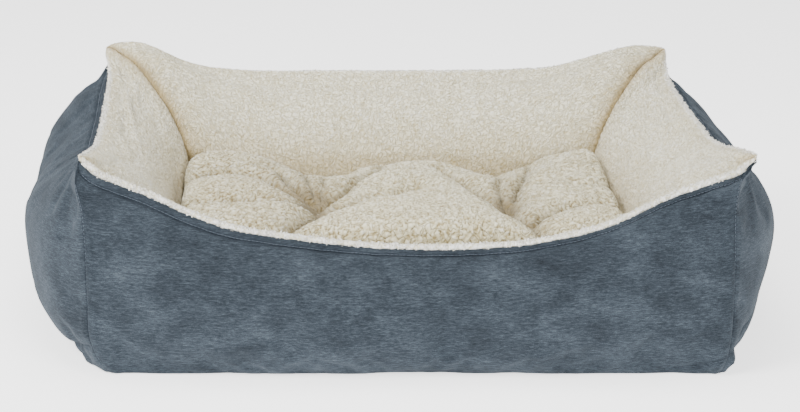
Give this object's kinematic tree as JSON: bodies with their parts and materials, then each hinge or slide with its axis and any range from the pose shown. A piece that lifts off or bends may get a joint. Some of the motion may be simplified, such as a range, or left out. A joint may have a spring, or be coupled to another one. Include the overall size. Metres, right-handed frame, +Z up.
{
  "type": "pet cushion bed",
  "caption": "Rectangular bolster pet bed with a low scooped front, peaked corners, a loose tufted cushion in its well and a zip along the back.",
  "frame": {"origin": "centre of the footprint on the underside, where the bed rests on the floor", "axes": "+X along the long side to the right, +Y to the back, +Z up; the low entrance faces -Y"},
  "size_m": [0.9116, 0.6812, 0.2536],
  "materials": {
    "chenille": "matte",
    "wall_sherpa": "matte",
    "cushion_sherpa": "matte",
    "fibre_fill": "matte",
    "blue_thread": "matte",
    "cream_thread": "matte",
    "base_cloth": "matte",
    "lining_cloth": "matte",
    "zip_tape": "matte",
    "zip_coil": "matte",
    "zip_metal": "satin"
  },
  "bodies": {
    "surround": {"front_outer_panel": "chenille", "rear_outer_panel": "chenille", "left_outer_panel": "chenille", "right_outer_panel": "chenille", "front_inner_panel": "wall_sherpa", "rear_inner_panel": "wall_sherpa", "left_inner_panel": "wall_sherpa", "right_inner_panel": "wall_sherpa", "front_bolster_fill": "fibre_fill", "rear_bolster_fill": "fibre_fill", "left_bolster_fill": "fibre_fill", "right_bolster_fill": "fibre_fill", "rim_topstitching": "blue_thread", "corner_seam_stitching": "blue_thread", "non_slip_base": "base_cloth", "deck_lining": "lining_cloth", "zip_tape_upper": "zip_tape", "zip_tape_lower": "zip_tape", "zip_coil_upper": "zip_coil", "zip_coil_lower": "zip_coil", "zip_top_stops": "zip_metal", "zip_bottom_stop": "zip_metal"},
    "cushion": {"cushion_top_panel": "cushion_sherpa", "cushion_bottom_panel": "cushion_sherpa", "cushion_fill": "fibre_fill", "tuft_ties": "cream_thread"},
    "zip_slider": {"zip_slider": "zip_metal"},
    "zip_pull": {"zip_pull": "zip_metal"}
  },
  "joints": [
    {"name": "cushion_lift", "type": "slide", "parent": "surround", "child": "cushion", "axis": [0, 0, 1], "range_m": [0, 0.3]},
    {"name": "zip_slide", "type": "slide", "parent": "surround", "child": "zip_slider", "axis": [1, 0, 0], "range_m": [0, 0.284]},
    {"name": "zip_pull_pivot", "type": "hinge", "parent": "zip_slider", "child": "zip_pull", "pos_m": [-0.142, 0.33843, 0.03726], "axis": [0, 0.1908, 0.9816], "range_deg": [0, 180]}
  ]
}
